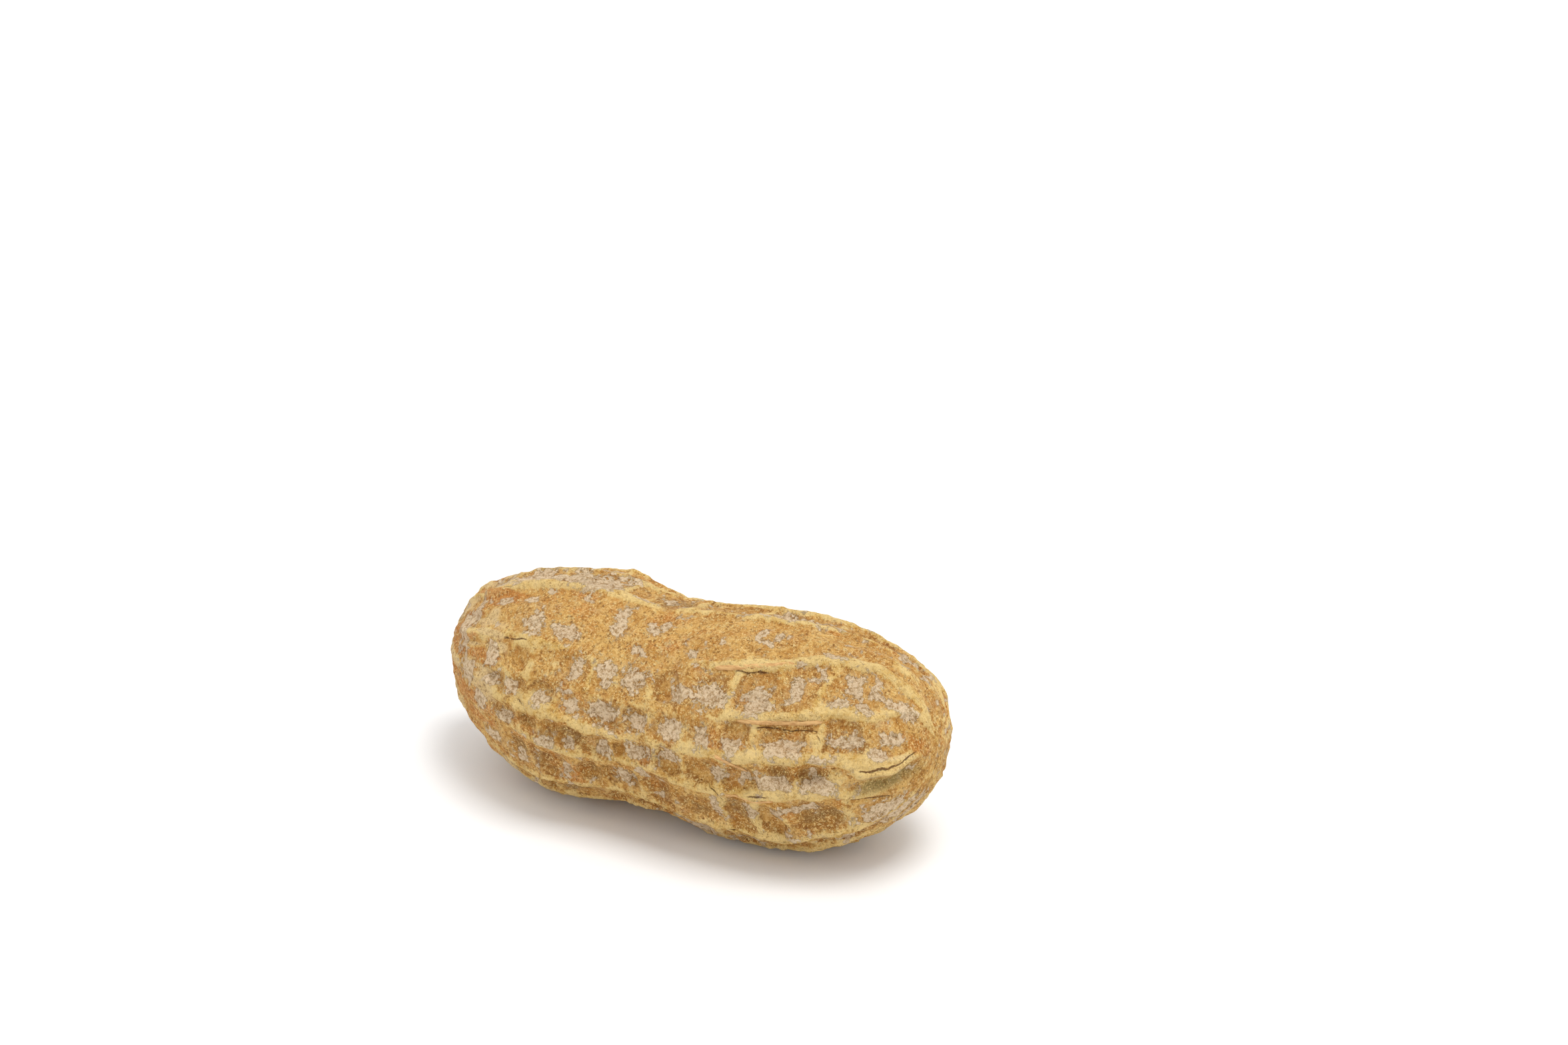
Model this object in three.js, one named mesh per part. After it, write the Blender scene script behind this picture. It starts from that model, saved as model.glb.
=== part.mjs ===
// A peanut in its shell, lying on its side on two small flat spots.
// The pod grew as one piece: two lobes joined by a shallow waist, bent a little along its length,
// with veins that run from the stem end to the beak and short rungs between them that frame the pits.
// Millimetres, +X from the stem end to the beak, +Z up, origin under the middle of the pod.
import * as THREE from "three";

// ---- The smooth form ----
// Each lobe holds one kernel. Its outline is a superellipse: centre along X, reach of its end from
// that centre, greatest radius, and fullness (2 is an ellipse, more is blunter).
const STEM_LOBE = { centre: -7.5, reach: 13.3, radius: 8.4, fullness: 1.81 };
const BEAK_LOBE = { centre: 7.2, reach: 13.4, radius: 8.45, fullness: 2.19 };
const WAIST_BLEND = 3; // how softly the lobes run into each other at the waist
const GIRTH_WIDTH = 1.02; // width of the girth over its height
const SIDE_BEND = 1.6; // how far the two ends curve towards +Y
const SIDE_TWIST = -1.05; // difference in that curve between the two ends
const BEAK_LIFT = 1.1; // rise of the beak above the level of its lobe

// ---- The veins and pits ----
// Where each main vein crosses five stations along the pod, in degrees round it from +Y over the top.
const STATIONS = [-16, -8, 0, 8, 16];
const FRONT_VEINS = [
  [108, 99, 92, 86, 70],
  [124, 119, 114, 105, 85],
  [141, 137, 135, 124, 100],
  [156, 155, 155, 151, 136],
  [168, 171, 173, 169, 166],
  [184, 187, 190, 189, 188],
  [209, 212, 214, 219, 223],
];
const BACK_VEINS = 10; // evenly spread over the rest of the girth
const BACK_SWAY = 2.5; // how far each of those wanders from its line, in degrees
const SWAY_PER_VEIN = 2.1; // phase of that wander from one vein to the next, in radians
const SWAY_PER_STATION = 1.7; // and from one station to the next
const VEIN_HEIGHT = 0.34;
const VEIN_WIDTH = 0.75; // from the crest to where the ridge has nearly gone
const RUNG_PITCH = 2.6; // distance between rungs
const RUNG_SHIFT = 5.3; // phase from one strip's rungs to the next strip's, in radians
const RUNG_HEIGHT = 0.22;
const RUNG_WIDTH = 0.65;
const PIT_DEPTH = 0.2;

// ---- Resting ----
const REST_DEPTH = 0.22; // how deep the flat spot under each lobe cuts into the smooth form
const REST_FADE = 1.2; // height over which the veins fade out round those flats

// ---- Facets ----
const SIDES = 84;
const RINGS = 56;

const STEM_TIP = STEM_LOBE.centre - STEM_LOBE.reach;
const BEAK_TIP = BEAK_LOBE.centre + BEAK_LOBE.reach;
const MIDDLE = (STEM_TIP + BEAK_TIP) / 2;
const HALF_LENGTH = (BEAK_TIP - STEM_TIP) / 2;
const FULL_TURN = 360;
const toRadians = THREE.MathUtils.degToRad;

// The radius that one lobe alone would have at a place along X.
function lobeRadius(lobe, x) {
  const share = Math.min(1, Math.abs(x - lobe.centre) / lobe.reach);
  return lobe.radius * (1 - share ** lobe.fullness) ** (1 / lobe.fullness);
}

// The pod's smooth radius: the larger lobe, with the two blended where they meet.
function podRadius(x) {
  const stem = lobeRadius(STEM_LOBE, x);
  const beak = lobeRadius(BEAK_LOBE, x);
  const mix = THREE.MathUtils.clamp(0.5 + (stem - beak) / (2 * WAIST_BLEND), 0, 1);
  const between = x > STEM_LOBE.centre && x < BEAK_LOBE.centre ? 1 : 0;
  return beak * (1 - mix) + stem * mix + WAIST_BLEND * mix * (1 - mix) * between;
}

// The middle of the girth at a place along X: level over both flats, bent sideways like a shallow bow.
function spine(x) {
  const along = (x - MIDDLE) / HALF_LENGTH;
  const rise = (BEAK_LOBE.radius - STEM_LOBE.radius) / (BEAK_LOBE.centre - STEM_LOBE.centre);
  const pastBeak = Math.max(0, (x - BEAK_LOBE.centre) / BEAK_LOBE.reach);
  return {
    y: SIDE_BEND * along ** 2 + SIDE_TWIST * along ** 3,
    z: STEM_LOBE.radius - REST_DEPTH + rise * (x - STEM_LOBE.centre) + BEAK_LIFT * pastBeak ** 2,
  };
}

// Every vein as a curve of angle over X. The last one is the first again, a full turn on.
function veinCurves() {
  const first = FRONT_VEINS[0];
  const last = FRONT_VEINS[FRONT_VEINS.length - 1];
  const rows = [...FRONT_VEINS];
  for (let n = 1; n <= BACK_VEINS; n++) {
    const share = n / (BACK_VEINS + 1);
    rows.push(
      STATIONS.map((_, k) => {
        const even = last[k] + (first[k] + FULL_TURN - last[k]) * share;
        return even + BACK_SWAY * Math.sin(SWAY_PER_VEIN * n + SWAY_PER_STATION * k);
      }),
    );
  }
  rows.push(first.map((angle) => angle + FULL_TURN));
  return rows.map((row) => new THREE.SplineCurve(row.map((a, k) => new THREE.Vector2(STATIONS[k], a))));
}
const VEINS = veinCurves();

// The angles of all the veins at a place along X, in rising order.
function veinAngles(x) {
  const share = (x - STATIONS[0]) / (STATIONS[STATIONS.length - 1] - STATIONS[0]);
  return VEINS.map((curve) => curve.getPoint(THREE.MathUtils.clamp(share, 0, 1)).y);
}

// A ridge's height at a distance from its crest.
const ridge = (height, width, distance) => height * Math.exp(-((distance / width) ** 2));

// Height of the shell over the smooth form: veins and rungs stand up, and pits lie between them.
function relief(x, angle, radius) {
  const angles = veinAngles(x);
  const turned = angle < angles[0] ? angle + FULL_TURN : angle;
  let strip = 0;
  while (strip < angles.length - 2 && turned > angles[strip + 1]) strip++;
  const before = toRadians(turned - angles[strip]) * radius;
  const after = toRadians(angles[strip + 1] - turned) * radius;
  const vein = ridge(VEIN_HEIGHT, VEIN_WIDTH, Math.min(before, after));
  const offset = RUNG_PITCH * Math.sin(RUNG_SHIFT * strip);
  const fromRung = Math.abs(((((x + offset) % RUNG_PITCH) + RUNG_PITCH) % RUNG_PITCH) - RUNG_PITCH / 2);
  const rung = ridge(RUNG_HEIGHT, RUNG_WIDTH, fromRung);
  return Math.max(vein, rung) - PIT_DEPTH;
}

// The pod's outline, turned into a lathe form and then bent, veined and set down on its flats.
function podGeometry() {
  const outline = [];
  for (let n = 0; n <= RINGS; n++) {
    const x = MIDDLE - HALF_LENGTH * Math.cos((Math.PI * n) / RINGS);
    outline.push(new THREE.Vector2(n % RINGS ? podRadius(x) : 0, x));
  }
  const geometry = new THREE.LatheGeometry(outline, SIDES);
  const place = geometry.getAttribute("position");
  for (let i = 0; i < place.count; i++) {
    const x = place.getY(i);
    const smooth = Math.hypot(place.getX(i), place.getZ(i));
    const turn = Math.atan2(place.getX(i), place.getZ(i));
    const angle = (THREE.MathUtils.radToDeg(turn) + FULL_TURN) % FULL_TURN;
    const centre = spine(x);
    const height = centre.z + smooth * Math.sin(turn);
    const nearTip = Math.min(1, (2 * smooth) / STEM_LOBE.radius);
    const fade = THREE.MathUtils.smoothstep(height, 0, REST_FADE) * nearTip;
    const radius = smooth + (smooth > 0 ? relief(x, angle, smooth) * fade : 0);
    const y = centre.y + radius * GIRTH_WIDTH * Math.cos(turn);
    const z = centre.z + radius * Math.sin(turn);
    place.setXYZ(i, x, y, Math.max(0, z));
  }
  geometry.deleteAttribute("normal");
  geometry.computeBoundingBox();
  const box = geometry.boundingBox;
  geometry.translate(-(box.min.x + box.max.x) / 2, -(box.min.y + box.max.y) / 2, 0);
  return geometry;
}

const shell = new THREE.MeshStandardMaterial({ color: 0xc79b5e, roughness: 0.9, metalness: 0 });
const pod = new THREE.Mesh(podGeometry(), shell);
pod.name = "peanut_pod";

const peanut = new THREE.Group();
peanut.add(pod);

export default peanut;
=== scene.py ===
import math

import bpy
import numpy as np
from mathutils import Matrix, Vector


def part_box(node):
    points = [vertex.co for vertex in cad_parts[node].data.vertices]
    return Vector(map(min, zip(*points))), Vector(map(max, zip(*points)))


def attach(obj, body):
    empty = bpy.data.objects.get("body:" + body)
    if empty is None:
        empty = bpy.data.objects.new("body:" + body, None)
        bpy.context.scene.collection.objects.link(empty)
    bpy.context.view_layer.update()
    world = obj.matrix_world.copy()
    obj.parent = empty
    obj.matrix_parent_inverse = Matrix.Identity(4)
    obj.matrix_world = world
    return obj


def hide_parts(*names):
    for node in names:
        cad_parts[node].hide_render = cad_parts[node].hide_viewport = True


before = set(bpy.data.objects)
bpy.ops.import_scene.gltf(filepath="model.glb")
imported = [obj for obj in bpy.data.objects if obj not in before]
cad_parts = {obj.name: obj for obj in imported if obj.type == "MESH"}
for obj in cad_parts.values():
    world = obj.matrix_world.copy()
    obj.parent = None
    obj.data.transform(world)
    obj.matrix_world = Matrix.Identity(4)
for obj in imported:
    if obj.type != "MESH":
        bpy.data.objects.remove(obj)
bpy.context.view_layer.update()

# ---- Camera ----
# It looks down on the pod from the front, a little from the beak end, through a long lens, and
# leaves room above and to the right of the pod.
azimuth = math.radians(28)
elevation = math.radians(25)
DISTANCE = 0.3222
ASIDE = 0.0073
RAISED = 0.0207
back = Vector((
    math.sin(azimuth) * math.cos(elevation),
    -math.cos(azimuth) * math.cos(elevation),
    math.sin(elevation),
))
right = Vector((math.cos(azimuth), math.sin(azimuth), 0))
above = back.cross(right)
camera = bpy.data.objects.new("camera", bpy.data.cameras.new("camera"))
camera.data.lens = 100
camera.data.sensor_width = 36
camera.data.clip_start = 0.01
camera.location = DISTANCE * back + ASIDE * right + RAISED * above
camera.rotation_mode = "QUATERNION"
camera.rotation_quaternion = (-back).to_track_quat("-Z", "Y")
bpy.context.collection.objects.link(camera)
bpy.context.scene.camera = camera

# ---- The pod ----
# The whole shell, which grew as one piece: two lobes with a shallow waist between them. It is a
# thin, dry, woody husk, with veins along it and rungs across them that frame shallow pits.

# The smooth form, in millimetres. A lobe's outline is a superellipse.
MM = 0.001
STEM_LOBE = {"centre": -7.5, "reach": 13.3, "radius": 8.4, "fullness": 1.81}
BEAK_LOBE = {"centre": 7.2, "reach": 13.4, "radius": 8.45, "fullness": 2.19}
WAIST_BLEND = 3  # how softly the lobes run into each other
GIRTH_WIDTH = 1.02  # width of the girth over its height
SIDE_BEND = 1.6  # how far the two ends curve towards +Y
SIDE_TWIST = -1.05  # difference in that curve between the two ends
BEAK_LIFT = 1.1  # rise of the beak above the level of its lobe
REST_DEPTH = 0.22  # how deep the flat spot under each lobe cuts in
stem_tip = STEM_LOBE["centre"] - STEM_LOBE["reach"]
beak_tip = BEAK_LOBE["centre"] + BEAK_LOBE["reach"]


def lobe_radius(lobe, x):
    share = np.minimum(1, np.abs(x - lobe["centre"]) / lobe["reach"])
    return lobe["radius"] * (1 - share ** lobe["fullness"]) ** (1 / lobe["fullness"])


def pod_radius(x):
    stem = lobe_radius(STEM_LOBE, x)
    beak = lobe_radius(BEAK_LOBE, x)
    mix = np.clip(0.5 + (stem - beak) / (2 * WAIST_BLEND), 0, 1)
    between = (x > STEM_LOBE["centre"]) & (x < BEAK_LOBE["centre"])
    return beak * (1 - mix) + stem * mix + WAIST_BLEND * mix * (1 - mix) * between


def spine(x):
    middle, half = (stem_tip + beak_tip) / 2, (beak_tip - stem_tip) / 2
    along = (x - middle) / half
    rise = (BEAK_LOBE["radius"] - STEM_LOBE["radius"]) / (BEAK_LOBE["centre"] - STEM_LOBE["centre"])
    past = np.maximum(0, (x - BEAK_LOBE["centre"]) / BEAK_LOBE["reach"])
    y = SIDE_BEND * along ** 2 + SIDE_TWIST * along ** 3
    z = STEM_LOBE["radius"] - REST_DEPTH + rise * (x - STEM_LOBE["centre"]) + BEAK_LIFT * past ** 2
    return y, z


# The net of stations: rows at even steps along the outline, columns at even steps round it.
ROWS = 308
COLUMNS = 320
OUTLINE_STEPS = 4001
fine = stem_tip + (beak_tip - stem_tip) * (1 - np.cos(np.linspace(0, math.pi, OUTLINE_STEPS))) / 2
steps = np.hypot(np.diff(fine), np.diff(pod_radius(fine)))
travel = np.concatenate([[0], np.cumsum(steps)])
row_travel = np.linspace(0, travel[-1], ROWS + 1)[1:-1]
row_x = np.interp(row_travel, travel, fine)
rows = len(row_x)
x = np.repeat(row_x[:, None], COLUMNS, axis=1)
turn = np.repeat(np.linspace(0, 360, COLUMNS, endpoint=False)[None, :], rows, axis=0)
girth = pod_radius(x)
from_stem = np.repeat(row_travel[:, None], COLUMNS, axis=1)


def on_shell(x, turn):
    y, z = spine(x)
    radius = pod_radius(x)
    angle = np.radians(turn)
    return np.stack(
        [x, y + radius * GIRTH_WIDTH * np.cos(angle), z + radius * np.sin(angle)], axis=-1
    )


place = on_shell(x, turn)
along_x = np.gradient(place, axis=0)
round_it = np.roll(place, -1, axis=1) - np.roll(place, 1, axis=1)
outward = np.cross(round_it, along_x)
outward /= np.linalg.norm(outward, axis=-1, keepdims=True)
if outward[rows // 2, COLUMNS // 4, 2] < 0:
    outward = -outward

# A turned grid of random knots gives smooth lumps of any size.
TILT = np.linalg.qr(np.random.default_rng(5).normal(size=(3, 3)))[0]
KNOTS = 32


def lumps(size, seed, spread_over=place):
    knots = np.random.default_rng(seed).uniform(-1, 1, (KNOTS, KNOTS, KNOTS))
    spot = spread_over @ TILT / size
    cell = np.floor(spot).astype(int)
    part = spot - cell
    part = part * part * (3 - 2 * part)
    total = 0
    for corner in np.ndindex(2, 2, 2):
        near = (cell + corner) % KNOTS
        weight = np.prod(np.where(corner, part, 1 - part), axis=-1)
        total = total + weight * knots[near[..., 0], near[..., 1], near[..., 2]]
    return total


def ease(value, low, high):
    share = np.clip((value - low) / (high - low), 0, 1)
    return share * share * (3 - 2 * share)


# Growth isn't regular, so the veins and rungs wander from their lines, most of all at the back.
behind = 1 - ease(turn, 50, 90) * (1 - ease(turn, 225, 260))
low_front = ease(turn, 160, 185) * (1 - behind)
wander = 1 + 1.3 * behind + 0.5 * low_front
grown_x = x + wander * (0.26 * lumps(3.1, 11) + 0.16 * lumps(1.1, 12))
sideways = wander * (0.30 * lumps(3.4, 13) + 0.17 * lumps(1.2, 14))
grown_turn = turn + np.degrees(sideways / np.maximum(girth, 2))

# Each vein: its angle round the pod at five stations along it, and how high it stands there.
STATIONS = np.array([-16.0, -8, 0, 8, 16])
veins = [
    ([108, 99, 92, 86, 70], [0.34, 0.38, 0.16, 0.28, 0.14]),
    ([124, 119, 114, 105, 85], [0.10, 0.08, 0.05, 0.06, 0.14]),
    ([141, 137, 135, 124, 100], [0.26, 0.30, 0.08, 0.32, 0.40]),
    ([156, 155, 155, 151, 136], [0.10, 0.12, 0.12, 0.28, 0.42]),
    ([168, 171, 173, 169, 166], [0.18, 0.32, 0.18, 0.36, 0.38]),
    ([184, 187, 190, 189, 188], [0.16, 0.22, 0.20, 0.32, 0.30]),
    ([209, 212, 214, 219, 223], [0.18, 0.24, 0.20, 0.30, 0.28]),
]
BROAD_VEIN = 4  # places in that list, counted from 0
UPTURNED_VEIN = 3
UPTURN = 24  # degrees
BACK_VEINS = 10  # spread over the rest of the girth
BACK_SWAY = 2.5  # how far each of those wanders from its line, in degrees
SWAY_PER_VEIN = 2.1  # phase of that wander from one vein to the next, in radians
SWAY_PER_STATION = 1.7  # and from one station to the next
BACK_RISE = 0.28
first, last = np.array(veins[0][0]), np.array(veins[-1][0])
for n in range(1, BACK_VEINS + 1):
    share = n / (BACK_VEINS + 1)
    sway = BACK_SWAY * np.sin(SWAY_PER_VEIN * n + SWAY_PER_STATION * np.arange(len(STATIONS)))
    rise = BACK_RISE + 0.08 * np.sin(1.3 * n + 2.3 * np.arange(len(STATIONS)))
    veins.append((last + (first + 360 - last) * share + sway, rise))


def through(values, x):
    """A smooth curve over the stations."""
    values = np.array(values, float)
    slope = np.gradient(values, STATIONS)
    inside = np.clip(x, STATIONS[0], STATIONS[-1])
    k = np.clip(np.searchsorted(STATIONS, inside, side="right") - 1, 0, len(STATIONS) - 2)
    gap = STATIONS[k + 1] - STATIONS[k]
    t = (inside - STATIONS[k]) / gap
    return (
        values[k] * (2 * t ** 3 - 3 * t ** 2 + 1) + values[k + 1] * (3 * t ** 2 - 2 * t ** 3)
        + slope[k] * gap * (t ** 3 - 2 * t ** 2 + t) + slope[k + 1] * gap * (t ** 3 - t ** 2)
    )


def across(angle):
    """How far each point lies round the girth from an angle."""
    apart = (grown_turn - angle + 180) % 360 - 180
    return np.radians(apart) * girth


# The veins narrow where they draw together towards the tips, and fall away more steeply on one side.
CREST_POWER = 2.4
FULL_VEIN = 0.30
crowd = ease(girth, 0.5, 6.0)
fading = 0.62 + 0.75 * ease(lumps(4.2, 17) + 0.5 * lumps(1.9, 18), -0.75, 0.35)
vein_width = (0.27 + 0.25 * crowd) * (1 + 0.32 * lumps(2.4, 15) + 0.16 * lumps(0.9, 19))
unevenness = 1 + 0.35 * lumps(2.0, 16)
vein_lines = [through(angles, grown_x) for angles, _ in veins]
# One vein turns up sharply just before the beak, and one is broad on the stem lobe.
vein_lines[UPTURNED_VEIN] = vein_lines[UPTURNED_VEIN] - UPTURN * ease(x, 17.0, 19.9)
vein_rise = np.zeros_like(x)
for number, (_, rises) in enumerate(veins):
    off = across(vein_lines[number])
    steep = 1.22 - 0.50 * ease(off, -0.2, 0.2)
    if number == BROAD_VEIN:
        steep = steep * (1 + 0.7 * ease(x, -14, -11) * (1 - ease(x, -7, -3)))
    crest = np.exp(-(np.abs(off / (vein_width * steep)) ** CREST_POWER)) * unevenness
    crest = crest * np.maximum(0, through(rises, grown_x)) * (0.35 + 0.65 * crowd)
    vein_rise = np.maximum(vein_rise, crest * np.minimum(1.15, fading))
vein = np.clip(vein_rise / FULL_VEIN, 0, 1)

# Each strip between two veins: where rungs cross it, or None for rungs at random, how deep its pits
# are at the stem end and at the beak end, and what shares of them hold a pale flake and a dark floor.
# The front strips have no share of flakes, because theirs are placed one by one below.
strips = {
    0: (None, 0.05, 0.06, 0.0, 0.0),
    1: (None, 0.07, 0.09, 0.0, 0.0),
    2: ([-13, -11, -9, -6.8, -4.2, -1.9, 0.7, 3.5, 7.2, 10.4, 13.6, 17], 0.14, 0.30, 0.0, 0.0),
    3: ([-13.3, -11, -9, -6.5, -3.9, -1.4, 1.2, 4.1, 6.8, 9.6, 14.4, 17.4], 0.24, 0.32, 0.0, 0.15),
    4: (
        [-12.5, -9.9, -7.6, -5.9, -4, -2.1, -0.3, 1.9, 4.3, 7.4, 10.5, 13.1, 15.8],
        0.32, 0.32, 0.0, 0.5,
    ),
    5: ([-11.3, -8.6, -6.4, -4.8, -3.1, -1.3, 0.5, 3.6, 7.3, 9.8, 12.0, 16.2], 0.36, 0.46, 0.0, 0.85),
}
back_strip = (None, 0.30, 0.32, 0.6, 0.45)
PIT_POWER = 2.3
RUNG_POWER = 2.6
pit = np.zeros_like(x)
wall_stain_and_shade = np.zeros_like(x)
dark = np.zeros_like(x)
ragged = 0.20 * lumps(1.5, 41) + 0.17 * lumps(0.75, 42) + 0.10 * lumps(0.4, 43)
ragged = ragged * (1 + 0.6 * low_front + 0.5 * behind)
flake = np.full_like(x, -1.0)
rung = np.zeros_like(x)
chance = np.random.default_rng(77)
for strip in range(len(veins)):
    low_line = vein_lines[strip]
    high_line = vein_lines[(strip + 1) % len(veins)]
    if strip == len(veins) - 1:
        high_line = high_line + 360
    rungs, stem_depth, beak_depth, flaked, darkened = strips.get(strip, back_strip)
    if rungs is None:
        rungs = [-17.5]
        while rungs[-1] < 18:
            step = chance.choice([1.5, 2.0, 2.5, 3.1, 4.2]) * chance.uniform(0.85, 1.15)
            rungs.append(rungs[-1] + step)
    off = across((low_line + high_line) / 2)
    half_width = np.radians(high_line - low_line) * girth / 2
    in_strip = np.abs(off) < half_width * 1.02
    for start, stop in zip(rungs, rungs[1:]):
        middle = (start + stop) / 2 + chance.uniform(-0.12, 0.12)
        share = ease(middle, -12, 12)
        depth = (stem_depth + (beak_depth - stem_depth) * share) * chance.uniform(0.45, 1.3)
        reach_x = (stop - start) / 2 * chance.uniform(0.80, 0.97)
        reach_w = half_width * chance.uniform(0.60, 0.92) * (1 - 0.14 * low_front)
        shift = half_width * chance.uniform(-0.14, 0.14)
        lean = chance.uniform(-0.18, 0.18)
        q_x = np.abs(grown_x - middle + lean * off) / reach_x
        q_w = np.abs(off - shift) / np.maximum(reach_w, 0.05)
        q = (q_x ** PIT_POWER + q_w ** PIT_POWER) ** (1 / PIT_POWER) + ragged
        bowl = 1 - ease(q, 0.48, 1.05)
        has_flake = chance.random() < flaked
        has_dark = chance.random() < darkened
        pit = np.maximum(pit, bowl * depth)
        # A band round each pit's sloping wall, which the material paints darker brown: partly stain,
        # partly painted shade.
        wall_stain_and_shade = np.maximum(wall_stain_and_shade, np.exp(-(((q - 0.84) / 0.20) ** 2)) * min(1, depth / 0.24))
        if has_flake:
            flake_x = middle + chance.uniform(-0.35, 0.35) * reach_x
            flake_off = chance.uniform(-0.30, 0.30) * reach_w
            from_middle = np.hypot(
                (grown_x - flake_x) / reach_x, (off - flake_off) / np.maximum(reach_w, 0.05)
            )
            flake = np.maximum(flake, chance.choice([0.45, 0.75, 1.1, 1.35]) - from_middle)
        if has_dark:
            dark = np.maximum(dark, bowl * chance.uniform(0.6, 1.0))
    for line in rungs:
        share = ease(line, -12, 12)
        sturdy = min(1, (stem_depth + (beak_depth - stem_depth) * share) / 0.2)
        rung_width = 0.55 * vein_width + 0.06
        near = np.exp(-(np.abs((grown_x - line + 0.05 * off) / rung_width) ** RUNG_POWER))
        weak = 1 - 0.55 * low_front * (1 - share)
        rung = np.maximum(rung, near * in_strip * weak * sturdy * chance.uniform(0.5, 1.0))

# Flakes of pale skin on the front: place along the pod, angle round it, and half of each one's
# length and width in millimetres. A flake shows where a point's value comes out above about 0.3.
front_flakes = [
    (-13.6, 94, 1.9, 0.5), (-10.5, 91, 1.5, 0.6), (-7.5, 94, 0.6, 0.3), (-3.0, 92, 1.2, 0.3),
    (6.2, 84, 1.3, 0.5), (10.3, 77, 1.5, 0.35), (-13.4, 116, 0.9, 0.4), (-11.4, 114, 0.9, 0.4),
    (-10.1, 127, 1.0, 0.9), (-7.0, 128, 1.2, 0.5), (-3.8, 108, 0.5, 1.1), (-3.5, 117, 0.6, 0.7),
    (-0.2, 107, 0.4, 0.6), (-0.6, 112, 0.7, 0.35), (7.3, 101, 0.4, 0.7), (8.6, 102, 0.35, 0.8),
    (7.9, 106, 0.8, 0.3), (13.1, 105, 1.0, 0.4), (-1.3, 126, 0.6, 0.4), (3.0, 122, 0.5, 0.35),
    (-17.2, 140, 0.8, 1.3), (-16.2, 124, 0.4, 1.4), (-13.0, 150, 0.7, 1.0), (-5.3, 143, 0.6, 1.1),
    (-3.0, 142, 0.95, 0.95), (-0.8, 142, 1.1, 1.0), (3.4, 143, 0.9, 0.7), (5.5, 143, 1.4, 1.0),
    (9.2, 140, 1.25, 1.25), (11.8, 130, 0.6, 0.9), (15.4, 117, 0.7, 1.3), (14.9, 132, 0.9, 0.5),
    (16.4, 131, 0.7, 0.4), (18.1, 119, 1.6, 0.5), (18.7, 147, 0.7, 0.5), (-15.8, 166, 1.0, 1.2),
    (-12.6, 164, 0.7, 0.6), (-10.4, 163, 0.8, 0.6), (-7.7, 164, 0.7, 0.6), (-5.2, 163, 0.8, 0.6),
    (-2.4, 164, 1.4, 0.9), (0.1, 164, 1.1, 0.8), (3.2, 164, 1.2, 0.8), (5.8, 163, 1.0, 0.8),
    (8.3, 162, 0.9, 0.7), (12.0, 161, 1.9, 0.7), (14.3, 165, 0.7, 0.3), (16.1, 154, 1.3, 0.6),
    (18.1, 161, 0.6, 0.4), (-13.8, 180, 0.9, 0.6), (-11.1, 180, 1.1, 0.5), (-7.0, 186, 0.9, 0.6),
    (-5.2, 184, 0.6, 0.5), (-2.6, 184, 0.8, 0.6), (0.5, 180, 1.0, 0.7), (3.0, 178, 1.1, 0.5),
    (7.4, 179, 1.0, 0.6), (11.5, 180, 1.5, 0.45), (14.7, 181, 1.6, 0.5), (-1.0, 201, 1.0, 0.8),
    (6.8, 201, 0.6, 0.8), (9.4, 199, 0.5, 0.6), (11.3, 203, 0.5, 0.6), (13.2, 197, 1.3, 0.35),
    (18.0, 213, 1.5, 0.7), (-12.6, 199, 0.9, 0.7), (-9.6, 203, 0.7, 0.6),
]
for flake_x, flake_turn, half_length, half_width in front_flakes:
    aside = np.radians((turn - flake_turn + 180) % 360 - 180) * girth
    reach = np.hypot((x - flake_x) / half_length, aside / half_width)
    flake = np.maximum(flake, 1.16 - reach * 0.95)
flake = flake - 1.5 * (1 - ease(girth, 1.4, 3.6))  # none on the tips

# The upper side is rubbed smoother than the rest.
worn = ease(place[..., 2], 10.5, 15.5)

# Streaks run out from the stem end, and fewer from the beak, each along its own line of growth.
growth_lines = np.stack(
    [from_stem / 4.5, 6 * np.cos(np.radians(turn)), 6 * np.sin(np.radians(turn))], axis=-1
)
streak = lumps(0.65, 51, growth_lines) + 0.6 * lumps(0.33, 52, growth_lines)
streak = streak * np.maximum(ease(-x, 10.5, 14.5), 0.3 * ease(x, 15.5, 18.5) * ease(girth, 1.0, 4.0))

# Cracks run along the veins where the dry husk has split, with lips that stand up beside them:
# the route of each, as places along the pod and angles round it, and its width.
cracks = [
    ([(6.9, 129), (8.2, 126.5), (9.5, 123.5)], 0.10),
    ([(9.6, 153.6), (11.2, 151.4), (12.6, 150.2), (14.2, 149)], 0.10),
    ([(14.0, 151), (14.3, 154), (14.6, 157)], 0.08),
    ([(-12.3, 140), (-11.1, 139), (-10.2, 138), (-9.4, 138)], 0.08),
    ([(-10.3, 167), (-9.4, 168.4), (-8.5, 169.8)], 0.06),
    ([(-14.8, 106), (-13.8, 104), (-12.6, 103.6)], 0.08),
    ([(7.0, 217.5), (8.4, 220), (9.9, 221), (11.7, 220)], 0.12),
    ([(6.2, 184), (6.9, 189), (7.5, 197)], 0.09),
    ([(9.2, 187.6), (10.2, 187.8), (11.0, 187)], 0.07),
    ([(15.9, 191.5), (17.1, 195), (18.2, 200), (18.9, 205)], 0.09),
    ([(16.8, 169), (17.6, 168), (18.6, 166), (19.5, 163), (20.1, 157)], 0.11),
]
FAR_OFF = 9.0
FULL_CRACK = 0.12
LIP_AWAY = 0.34
crack_side = np.full_like(x, FAR_OFF)
crack_here = np.zeros_like(x)
lip = np.zeros_like(x)
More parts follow.
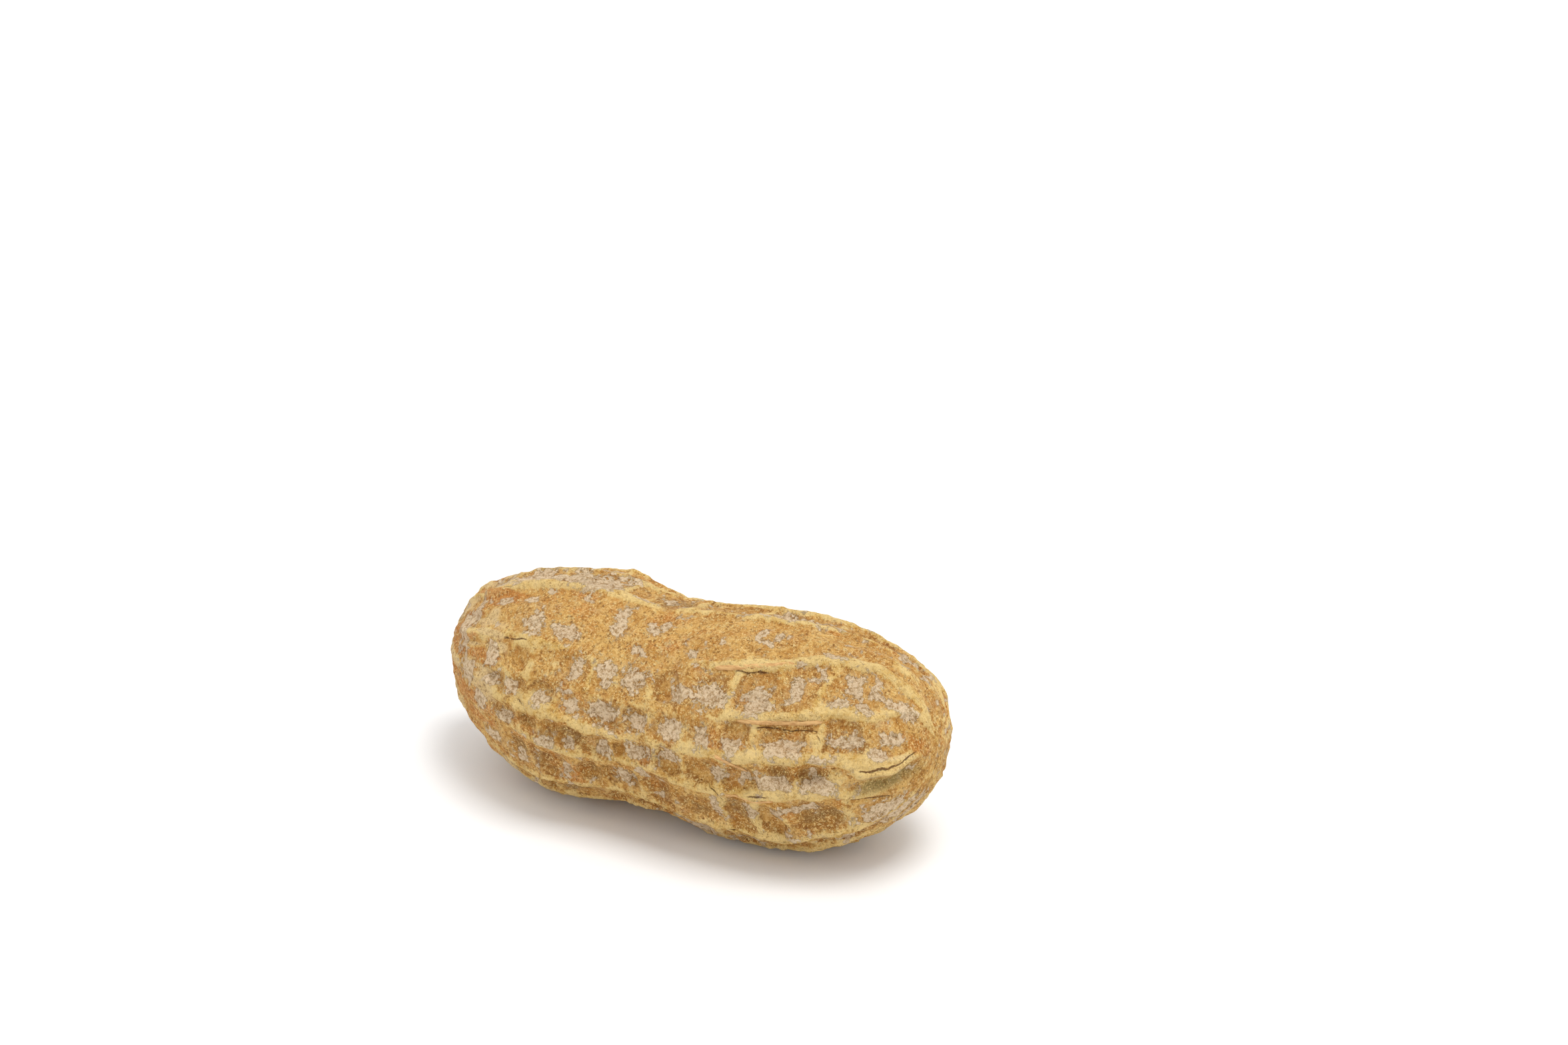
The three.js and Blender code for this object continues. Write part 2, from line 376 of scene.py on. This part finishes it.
for route, width in cracks:
    stops, angles = np.array(route, float).T
    path = np.interp(grown_x, stops, angles)
    slant = np.gradient(path, axis=0) / np.gradient(grown_x, axis=0)
    side = across(path) / np.sqrt(1 + (np.radians(slant) * girth) ** 2)
    past_end = np.maximum(stops[0] - grown_x, grown_x - stops[-1])
    here = (1 - ease(past_end, -0.5, 0.1)) * (1 - ease(np.abs(side), 0.45, 0.75))
    here = here * width / FULL_CRACK
    crack_side = np.where(here > crack_here, side, crack_side)
    crack_here = np.maximum(crack_here, here)
    lip = np.maximum(lip, np.exp(-(((np.abs(side) - LIP_AWAY) / 0.2) ** 2)) * here)
crack = np.exp(-((crack_side / 0.17) ** 2)) * crack_here

# A fold of husk stands up under the last crack, where the veins draw together at the beak, with a
# hollow below it.
fold_line = 171.5 - 2.5 * ease(x, 17.0, 19.0) - 6 * ease(x, 18.8, 20.2)
fold_reach = ease(x, 15.8, 17.6) * (1 - ease(x, 18.9, 20.2))
fold = np.exp(-((across(fold_line) / 0.38) ** 2)) * fold_reach
hollow_reach = ease(x, 16.2, 18.0) * (1 - ease(x, 19.8, 20.4))
hollow = np.exp(-(((across(fold_line) - 1.25) / 0.62) ** 2)) * hollow_reach

# The skin is rough to the touch, in some places more than in others.
stirred = place + 0.22 * np.stack([lumps(0.9, seed) for seed in (61, 62, 63)], axis=-1)
roughness = 0.030 * lumps(0.42, 24, stirred) + 0.032 * lumps(0.26, 25, stirred)
roughness = roughness * (1 + 0.7 * lumps(1.8, 26))

# The stem end has a small sunken scar with a torn rim.
rim = np.exp(-(((from_stem - 1.15 - 0.15 * lumps(1.3, 31)) / 0.33) ** 2))
scar = 1 - ease(from_stem, 0.5, 1.0)

# How far each feature stands up from the smooth form or sinks below it. The veins, rungs, pits and
# roughness are calmer near the beak, and everything fades out round the flat spots under the pod.
RUNG_HEIGHT = 0.14
CRACK_DEPTH = 0.14
LIP_HEIGHT = 0.06
FOLD_HEIGHT = 0.74
HOLLOW_DEPTH = 0.58
RIM_HEIGHT = 0.24
SCAR_DEPTH = 0.30
STREAK_HEIGHT = 0.05
FLAKE_HEIGHT = 0.04
near_beak = ease(x, 16.5, 19.5)
rungs_and_pits = RUNG_HEIGHT * rung * (1 - 0.5 * worn) - pit * (1 - 0.45 * worn)
relief = (
    vein_rise * (1 - 0.35 * near_beak)
    + rungs_and_pits * (1 - 0.7 * near_beak)
    - CRACK_DEPTH * crack + LIP_HEIGHT * lip
    + FOLD_HEIGHT * fold - HOLLOW_DEPTH * hollow
    + RIM_HEIGHT * rim - SCAR_DEPTH * scar
    + 0.12 * lumps(3.6, 21) + 0.07 * lumps(1.5, 22) + 0.042 * lumps(0.7, 23, stirred)
    + roughness * (1 - 0.4 * near_beak)
    + STREAK_HEIGHT * streak + FLAKE_HEIGHT * ease(flake, 0.1, 0.35)
)
off_the_flats = ease(place[..., 2], 0.0, 1.2)
shell = place + outward * (relief * off_the_flats)[..., None]
shell[..., 2] = np.maximum(shell[..., 2], 0)

SCAR_SUNK = 0.12
stem_point = on_shell(stem_tip, 0.0) + np.array([SCAR_SUNK, 0, 0])
beak_point = on_shell(beak_tip, 0.0)
points = np.concatenate([shell.reshape(-1, 3), [stem_point], [beak_point]])

# The pod fills its box exactly.
box_low, box_high = (np.array(corner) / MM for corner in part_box("peanut_pod"))
points = (points - points.min(0)) / np.ptp(points, axis=0) * (box_high - box_low) + box_low

index = np.arange(rows * COLUMNS).reshape(rows, COLUMNS)
after = np.roll(index, -1, axis=1)
quads = np.stack([index[:-1], index[1:], after[1:], after[:-1]], axis=-1).reshape(-1, 4)
stem_fan = np.stack([np.full(COLUMNS, rows * COLUMNS), index[0], after[0]], axis=-1)
beak_fan = np.stack([np.full(COLUMNS, rows * COLUMNS + 1), after[-1], index[-1]], axis=-1)
faces = quads.tolist() + stem_fan.tolist() + beak_fan.tolist()

mesh = bpy.data.meshes.new("pod")
mesh.from_pydata((points * MM).tolist(), [], faces)
mesh.validate()
mesh.shade_smooth()

# The shell is unrolled flat for its map, one column of faces beside the next.
column = np.arange(COLUMNS)
level = np.arange(rows - 1)
u_low, u_high = column / COLUMNS, (column + 1) / COLUMNS
v_low, v_high = (level + 1) / ROWS, (level + 2) / ROWS
quad_map = np.zeros((rows - 1, COLUMNS, 4, 2))
quad_map[:, :, 0] = np.stack(np.broadcast_arrays(u_low[None], v_low[:, None]), -1)
quad_map[:, :, 1] = np.stack(np.broadcast_arrays(u_low[None], v_high[:, None]), -1)
quad_map[:, :, 2] = np.stack(np.broadcast_arrays(u_high[None], v_high[:, None]), -1)
quad_map[:, :, 3] = np.stack(np.broadcast_arrays(u_high[None], v_low[:, None]), -1)
u_middle = (u_low + u_high) / 2
stem_map = np.stack([
    np.stack([u_middle, np.zeros(COLUMNS)], -1),
    np.stack([u_low, np.full(COLUMNS, 1 / ROWS)], -1),
    np.stack([u_high, np.full(COLUMNS, 1 / ROWS)], -1),
], axis=1)
beak_map = np.stack([
    np.stack([u_middle, np.ones(COLUMNS)], -1),
    np.stack([u_high, np.full(COLUMNS, 1 - 1 / ROWS)], -1),
    np.stack([u_low, np.full(COLUMNS, 1 - 1 / ROWS)], -1),
], axis=1)
uv = mesh.uv_layers.new(name="OFBake")
uv.data.foreach_set("uv", np.concatenate([quad_map.ravel(), stem_map.ravel(), beak_map.ravel()]))


def paint(name, values, stem_value, beak_value):
    layer = mesh.attributes.new(name, "FLOAT", "POINT")
    layer.data.foreach_set("value", np.append(values.ravel(), [stem_value, beak_value]))


# What the material needs to know at each point. The last two values are for the two tips.
paint("vein", np.clip(np.maximum(vein, 0.85 * rung) + 0.9 * fold + 0.4 * lip, 0, 1.2), 0, 0.4)
paint("pit", np.clip(pit / 0.3, 0, 1), 0.6, 0)
paint("dark", np.clip(np.maximum(dark, scar), 0, 1), 1, 0)
paint("flake", flake, -1, -1)
paint("wall_stain_and_shade", np.clip(wall_stain_and_shade, 0, 1), 0, 0)
paint("crack_side", crack_side, FAR_OFF, FAR_OFF)
paint("crack_here", crack_here, 0, 0)
paint("hollow", hollow, 0, 0)
paint("worn", worn, 0, 0)
paint("streak", streak, 0, 0)

pod = bpy.data.objects.new("pod", mesh)
bpy.context.collection.objects.link(pod)


def colour(red, green, blue):
    parts = [value / 255 for value in (red, green, blue)]
    return tuple(c / 12.92 if c <= 0.04045 else ((c + 0.055) / 1.055) ** 2.4 for c in parts) + (1,)


def add(tree, kind, inputs, **settings):
    made = tree.nodes.new("ShaderNode" + kind)
    for name, value in settings.items():
        setattr(made, name, value)
    for socket, value in inputs.items():
        if isinstance(value, bpy.types.NodeSocket):
            tree.links.new(value, made.inputs[socket])
        else:
            made.inputs[socket].default_value = value
    return made


def mask(tree, value, low, high):
    steps = {0: value, 1: low, 2: high}
    return add(tree, "MapRange", steps, interpolation_type="SMOOTHSTEP").outputs[0]


def lay_over(tree, how_much, under, over):
    return add(tree, "Mix", {0: how_much, 6: under, 7: over}, data_type="RGBA").outputs[2]


def maths(tree, operation, first, second=0.0, third=0.0):
    return add(tree, "Math", {0: first, 1: second, 2: third}, operation=operation).outputs[0]


# Husk grain, in millimetres of the pod's own space: broad tone, mottling, rust, fine tooth, grit,
# loose golden grains, dust and dark specks. The shell and its fibres share it, and it is the finer
# the higher its fineness.
grain = bpy.data.node_groups.new("husk_grain", "ShaderNodeTree")
grain.interface.new_socket("Place", in_out="INPUT", socket_type="NodeSocketVector")
grain.interface.new_socket("Fineness", in_out="INPUT", socket_type="NodeSocketFloat")
grain_in = grain.nodes.new("NodeGroupInput")
grain_out = grain.nodes.new("NodeGroupOutput")
sized = {0: grain_in.outputs["Place"], 3: grain_in.outputs["Fineness"]}
spot = add(grain, "VectorMath", sized, operation="SCALE").outputs[0]
elsewhere = add(grain, "VectorMath", {0: spot, 1: (37.0, 11.0, 53.0)}, operation="ADD").outputs[0]


def noise(where, scale, detail, coarse):
    sockets = {"Vector": where, "Scale": scale, "Detail": detail, "Roughness": coarse}
    return add(grain, "TexNoise", sockets).outputs[0]


# Places a little astray, which give the dots ragged edges.
stray = add(grain, "TexNoise", {"Vector": spot, "Scale": 7.0, "Detail": 2.0}).outputs["Color"]
stray = add(grain, "VectorMath", {0: stray, 3: 0.42}, operation="SCALE").outputs[0]
frayed = add(grain, "VectorMath", {0: spot, 1: stray}, operation="ADD").outputs[0]


def dots(scale, channel, size, picked):
    """Small ragged marks on a share of the cells of a scattered pattern."""
    cells = add(grain, "TexVoronoi", {"Vector": frayed, "Scale": scale})
    pick = add(grain, "SeparateColor", {0: cells.outputs["Color"]}).outputs[channel]
    return maths(
        grain, "MULTIPLY", mask(grain, cells.outputs["Distance"], *size), mask(grain, pick, *picked)
    )


grain_values = {
    "Broad": noise(spot, 0.22, 3.0, 0.5),
    "Mottle": noise(spot, 0.75, 7.0, 0.62),
    "Scales": noise(elsewhere, 0.85, 2.0, 0.5),
    "Lobes": noise(elsewhere, 2.1, 3.0, 0.5),
    "Rust": noise(elsewhere, 0.5, 8.0, 0.7),
    "Tooth": noise(spot, 3.2, 6.0, 0.72),
    "Grit": noise(elsewhere, 5.6, 3.0, 0.7),
    "Grains": dots(3.6, 0, (0.44, 0.20), (0.58, 0.74)),
    "Dust": dots(6.2, 2, (0.50, 0.24), (0.50, 0.66)),
    "Specks": dots(3.2, 1, (0.42, 0.18), (0.68, 0.82)),
}
for name, value in grain_values.items():
    grain.interface.new_socket(name, in_out="OUTPUT", socket_type="NodeSocketFloat")
    grain.links.new(value, grain_out.inputs[name])

# The shell's finish: ochre husk, straw-yellow veins, brown pits, pale grey-pink flakes.
husk = bpy.data.materials.new("pod_shell")
husk.use_nodes = True
tree = husk.node_tree
finish = tree.nodes["Principled BSDF"]
metres = add(tree, "TexCoord", {}).outputs["Object"]
in_mm = add(tree, "VectorMath", {0: metres, 3: 1 / MM}, operation="SCALE").outputs[0]
texture = tree.nodes.new("ShaderNodeGroup")
texture.node_tree = grain
texture.inputs["Fineness"].default_value = 1.0
tree.links.new(in_mm, texture.inputs["Place"])
broad, mottle, scales, lobes, rust, tooth, grit, grains, dust, specks = (
    texture.outputs[name] for name in grain_values
)


def painted(name):
    return add(tree, "Attribute", {}, attribute_name=name, attribute_type="GEOMETRY").outputs["Fac"]


def spread(value, amount):
    """How far a noise value lies from its middle, times an amount."""
    return maths(tree, "MULTIPLY_ADD", value, amount, -amount / 2)


def times(first, second):
    return maths(tree, "MULTIPLY", first, second)


def total(*values):
    together = values[0]
    for value in values[1:]:
        together = maths(tree, "ADD", together, value)
    return together


vein_edge = total(painted("vein"), spread(mottle, 1.7), spread(lobes, 0.9), spread(tooth, 1.0))
vein_mask = mask(tree, vein_edge, 0.38, 0.70)
vein_crest = mask(tree, vein_edge, 0.62, 1.05)
pit_mask = mask(tree, total(painted("pit"), spread(tooth, 1.2), spread(lobes, 1.0)), 0.30, 0.95)
wall_stain_and_shade_mask = mask(tree, total(painted("wall_stain_and_shade"), spread(mottle, 1.6)), 0.35, 1.05)
dark_mask = mask(tree, total(painted("dark"), spread(mottle, 2.2), spread(tooth, 1.6)), 0.42, 1.0)
placed = total(painted("flake"), spread(scales, 2.0), spread(lobes, 2.0), spread(tooth, 1.3))
thin = maths(tree, "MULTIPLY_ADD", scales, 5.0, -3.12)
scattered = total(thin, spread(broad, 2.2), spread(lobes, 1.6), spread(tooth, 0.8))
flake_field = maths(tree, "MAXIMUM", placed, scattered)
flake_mask = mask(tree, total(flake_field, spread(grit, 0.55)), 0.20, 0.42)
# A painted shadow in a thin ring just outside each flake, where its lifted edge would shade the husk.
flake_edge_shadow = times(mask(tree, flake_field, 0.12, 0.26), mask(tree, mottle, 0.42, 0.56))
bloom_mask = times(mask(tree, flake_field, -0.45, 0.30), mask(tree, tooth, 0.40, 0.62))
crack_line = maths(
    tree, "ABSOLUTE", total(painted("crack_side"), spread(tooth, 0.22), spread(mottle, 0.4))
)
crack_line = total(crack_line, spread(rust, 0.10))
crack_reach = times(painted("crack_here"), mask(tree, mottle, 0.30, 0.50))
crack_mask = times(mask(tree, crack_line, 0.062, 0.014), mask(tree, crack_reach, 0.12, 0.6))

base = lay_over(tree, mask(tree, mottle, 0.37, 0.61), colour(188, 132, 56), colour(222, 175, 98))
stain = mask(tree, total(spread(rust, 1.0), spread(broad, 0.6)), 0.03, 0.20)
base = lay_over(tree, times(stain, 0.64), base, colour(196, 116, 40))
base = lay_over(tree, times(mask(tree, lobes, 0.53, 0.64), 0.42), base, colour(232, 192, 118))
base = lay_over(tree, times(mask(tree, lobes, 0.47, 0.36), 0.44), base, colour(176, 112, 46))
base = lay_over(tree, times(painted("worn"), 0.22), base, colour(218, 166, 94))
# The pit walls in darker brown: partly stain, partly painted shade.
base = lay_over(tree, times(wall_stain_and_shade_mask, 0.72), base, colour(142, 88, 30))
base = lay_over(tree, times(pit_mask, 0.36), base, colour(180, 124, 54))
base = lay_over(tree, times(dark_mask, 0.70), base, colour(108, 68, 26))
straw = lay_over(tree, mask(tree, mottle, 0.40, 0.60), colour(218, 176, 94), colour(236, 204, 134))
straw = lay_over(tree, times(vein_crest, 0.70), straw, colour(240, 210, 142))
base = lay_over(tree, times(vein_mask, 0.88), base, straw)
pale_streak = mask(tree, painted("streak"), 0.08, 0.30)
deep_streak = mask(tree, painted("streak"), -0.10, -0.35)
base = lay_over(tree, times(pale_streak, 0.78), base, colour(232, 202, 148))
base = lay_over(tree, times(deep_streak, 0.70), base, colour(192, 114, 40))
# The hollow under the beak fold in a dark greenish grey: partly the husk's own tone there, partly
# painted shade.
base = lay_over(tree, times(painted("hollow"), 0.84), base, colour(132, 112, 60))
off_veins = maths(tree, "MULTIPLY_ADD", vein_mask, -0.6, 1.0)
dark_tooth = times(times(mask(tree, tooth, 0.50, 0.36), 0.68), off_veins)
base = lay_over(tree, dark_tooth, base, colour(138, 88, 32))
grit_patch = add(tree, "MapRange", {0: rust, 1: 0.42, 2: 0.58, 3: 0.30, 4: 1.0}).outputs[0]
dark_grit = times(times(mask(tree, grit, 0.46, 0.34), 0.80), grit_patch)
pale_grit = times(times(mask(tree, grit, 0.54, 0.64), 0.90), grit_patch)
base = lay_over(tree, dark_grit, base, colour(138, 86, 32))
base = lay_over(tree, pale_grit, base, colour(244, 210, 142))
base = lay_over(tree, times(grains, 0.78), base, colour(250, 218, 150))
base = lay_over(tree, times(dust, 0.62), base, colour(246, 210, 138))
base = lay_over(tree, times(times(specks, 0.60), off_veins), base, colour(116, 70, 26))
base = lay_over(tree, times(bloom_mask, 0.32), base, colour(214, 188, 148))
# The painted shadow round the flakes' edges.
base = lay_over(tree, times(flake_edge_shadow, 0.26), base, colour(158, 108, 52))
pale_tooth = mask(tree, tooth, 0.40, 0.56)
flake_tone = lay_over(tree, pale_tooth, colour(176, 142, 100), colour(234, 208, 172))
flake_shade = times(mask(tree, broad, 0.44, 0.58), 0.16)
flake_tone = lay_over(tree, flake_shade, flake_tone, colour(160, 136, 104))
flake_glint = times(mask(tree, grit, 0.52, 0.64), 0.55)
flake_tone = lay_over(tree, flake_glint, flake_tone, colour(238, 218, 186))
flake_grit = times(mask(tree, grit, 0.46, 0.34), 0.45)
flake_tone = lay_over(tree, flake_grit, flake_tone, colour(146, 110, 68))
# A painted highlight along the inside of each flake's edge, where it lifts towards the light.
flake_rim_highlight = mask(tree, flake_field, 0.62, 0.38)
flake_tone = lay_over(tree, times(flake_rim_highlight, 0.30), flake_tone, colour(234, 210, 174))
base = lay_over(tree, times(flake_mask, 0.87), base, flake_tone)
base = lay_over(tree, times(crack_mask, 0.88), base, colour(98, 56, 18))
tree.links.new(base, finish.inputs["Base Color"])

rough = add(tree, "MapRange", {0: tooth, 3: 0.80, 4: 0.96}).outputs[0]
tree.links.new(rough, finish.inputs["Roughness"])
finish.inputs["Specular IOR Level"].default_value = 0.28

SHELL_BUMP = 0.00024
height = maths(tree, "MULTIPLY_ADD", tooth, 1.0, times(mottle, 0.6))
height = maths(tree, "MULTIPLY_ADD", grit, 0.45, height)
height = maths(tree, "MULTIPLY_ADD", flake_mask, 0.22, height)
height = maths(tree, "MULTIPLY_ADD", grains, 0.30, height)
height = maths(tree, "MULTIPLY_ADD", specks, -0.15, height)
height = maths(tree, "MULTIPLY_ADD", crack_mask, -0.4, height)
bump = add(tree, "Bump", {"Strength": 1.0, "Distance": SHELL_BUMP, "Height": height})
tree.links.new(bump.outputs[0], finish.inputs["Normal"])
mesh.materials.append(husk)

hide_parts("peanut_pod")
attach(pod, "root")

# ---- The fibres ----
# Strands of the husk's own woody fibre, laid bare beside the cracks. They are flat strips, pinkish
# tan with glossy orange streaks, that lie along the veins and are still stuck down for most of
# their length.
surface = points[: rows * COLUMNS].reshape(rows, COLUMNS, 3)
for axis in (0, 1):
    for _ in range(2):
        surface = (np.roll(surface, 1, axis) + surface + np.roll(surface, -1, axis)) / 3
FIBRE_SIDES = 10
RINGS_PER_MM = 7
FIBRE_RISE = 0.10
FIBRE_SINK = 0.05
# Each one's route, as places along the pod and angles round it, and half its width.
fibres = [
    ([(5.4, 128), (7.1, 126), (8.5, 123), (9.8, 120), (11.0, 117)], 0.16),
    ([(8.3, 151), (9.9, 150), (11.6, 148), (13.2, 146), (14.3, 144)], 0.15),
    ([(7.1, 169.5), (8.1, 171.3), (8.9, 174), (9.5, 176)], 0.13),
    ([(7.9, 189.6), (9.2, 190.6), (10.4, 191.2), (11.5, 190)], 0.15),
    ([(-9.2, 296), (-7.0, 292), (-5.1, 293)], 0.17),
    ([(4.2, 24), (6.4, 21), (8.6, 22), (10.1, 25)], 0.19),
    ([(-11.8, 49), (-10.0, 52), (-8.3, 51)], 0.16),
]


def shell_point(along, angle):
    """The point of the smoothed shell, and the way out of it, at a place and an angle."""
    level = np.interp(along, row_x, np.arange(rows))
    spoke = angle / 360 * COLUMNS
    row, column = int(level), int(spoke)
    down, over = level - row, spoke - column
    found = []
    for net in (surface, outward):
        near = net[row, column % COLUMNS] * (1 - over) + net[row, (column + 1) % COLUMNS] * over
        far = net[row + 1, column % COLUMNS] * (1 - over) + net[row + 1, (column + 1) % COLUMNS] * over
        found.append(near * (1 - down) + far * down)
    return found


fibre_points, fibre_faces = [], []
for route, half_width in fibres:
    stops, angles = np.array(route, float).T
    count = int((stops[-1] - stops[0]) * RINGS_PER_MM)
    run = np.linspace(stops[0], stops[-1], count)
    path = np.interp(run, stops, angles)
    path[1:-1] = (path[:-2] + path[1:-1] + path[2:]) / 3
    first = len(fibre_points)
    for k in range(count):
        from_end = min(k, count - 1 - k) / count
        taper = min(1, 0.35 + 9 * from_end) * (1 + 0.10 * math.sin(1.1 * k + stops[0]))
        degrees_per_mm = math.degrees(1 / pod_radius(run[k]))
        for n in range(FIBRE_SIDES):
            angle = math.tau * n / FIBRE_SIDES
            sideways = half_width * taper * math.cos(angle)
            spot, up = shell_point(run[k], path[k] + sideways * degrees_per_mm)
            lift = math.sin(angle)
            rise = FIBRE_RISE * min(1, taper) * abs(lift) ** 0.5
            fibre_points.append(spot + up * (rise if lift > 0 else -FIBRE_SINK * abs(lift)))
    for k in range(count - 1):
        for n in range(FIBRE_SIDES):
            a, b = first + k * FIBRE_SIDES + n, first + k * FIBRE_SIDES + (n + 1) % FIBRE_SIDES
            fibre_faces.append((a, b, b + FIBRE_SIDES, a + FIBRE_SIDES))
    fibre_faces.append(tuple(first + n for n in reversed(range(FIBRE_SIDES))))
    fibre_faces.append(tuple(first + (count - 1) * FIBRE_SIDES + n for n in range(FIBRE_SIDES)))
fibre_mesh = bpy.data.meshes.new("husk_fibres")
fibre_points = np.clip(fibre_points, box_low, box_high)
fibre_mesh.from_pydata((fibre_points * MM).tolist(), [], fibre_faces)
fibre_mesh.shade_smooth()
husk_fibres = bpy.data.objects.new("husk_fibres", fibre_mesh)
bpy.context.collection.objects.link(husk_fibres)

# The fibres' grain is finer than the shell's across the pod, and drawn out along it.
FIBRE_FINENESS = 1.6
ALONG_FIBRE = 0.35
FIBRE_BUMP = 0.00008
strand = bpy.data.materials.new("fibre")
strand.use_nodes = True
tree = strand.node_tree
finish = tree.nodes["Principled BSDF"]
metres = add(tree, "TexCoord", {}).outputs["Object"]
stretch = {0: metres, 1: (ALONG_FIBRE / FIBRE_FINENESS / MM, 1 / MM, 1 / MM)}
drawn_out = add(tree, "VectorMath", stretch, operation="MULTIPLY").outputs[0]
texture = tree.nodes.new("ShaderNodeGroup")
texture.node_tree = grain
texture.inputs["Fineness"].default_value = FIBRE_FINENESS
tree.links.new(drawn_out, texture.inputs["Place"])
streaks, tooth = texture.outputs["Mottle"], texture.outputs["Tooth"]
base = lay_over(tree, mask(tree, tooth, 0.38, 0.62), colour(190, 142, 86), colour(222, 178, 118))
base = lay_over(tree, times(mask(tree, streaks, 0.55, 0.61), 0.75), base, colour(204, 118, 48))
tree.links.new(base, finish.inputs["Base Color"])
rough = add(tree, "MapRange", {0: streaks, 1: 0.50, 2: 0.62, 3: 0.85, 4: 0.45}).outputs[0]
tree.links.new(rough, finish.inputs["Roughness"])
bump = add(tree, "Bump", {"Strength": 1.0, "Distance": FIBRE_BUMP, "Height": tooth})
tree.links.new(bump.outputs[0], finish.inputs["Normal"])
fibre_mesh.materials.append(strand)

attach(husk_fibres, "root")

# ---- The floor ----
# A plain pale sheet that the pod lies on.
floor_mesh = bpy.data.meshes.new("floor")
FLOOR_HALF = 3.0
corners = [
    (-FLOOR_HALF, -FLOOR_HALF, 0), (FLOOR_HALF, -FLOOR_HALF, 0),
    (FLOOR_HALF, FLOOR_HALF, 0), (-FLOOR_HALF, FLOOR_HALF, 0),
]
floor_mesh.from_pydata(corners, [], [(0, 1, 2, 3)])
floor = bpy.data.objects.new("floor", floor_mesh)
bpy.context.collection.objects.link(floor)
pale = bpy.data.materials.new("floor")
pale.use_nodes = True
finish = pale.node_tree.nodes["Principled BSDF"]
finish.inputs["Base Color"].default_value = (0.88, 0.88, 0.88, 1)
finish.inputs["Roughness"].default_value = 0.9
floor_mesh.materials.append(pale)

# ---- The light ----
# A bright even room, with one large soft lamp high up behind the pod on the right.
world = bpy.data.worlds.new("room")
world.use_nodes = True
glow = world.node_tree.nodes["Background"]
glow.inputs["Color"].default_value = (1, 1, 1, 1)
glow.inputs["Strength"].default_value = 0.95
bpy.context.scene.world = world
lamp = bpy.data.objects.new("lamp", bpy.data.lights.new("lamp", "AREA"))
lamp.data.size = 0.55
lamp.data.energy = 7.8
lamp.location = (0.32, -0.02, 1.2)
lamp.rotation_mode = "QUATERNION"
lamp.rotation_quaternion = (-lamp.location).to_track_quat("-Z", "Y")
bpy.context.collection.objects.link(lamp)
bpy.context.scene.view_settings.view_transform = "Standard"
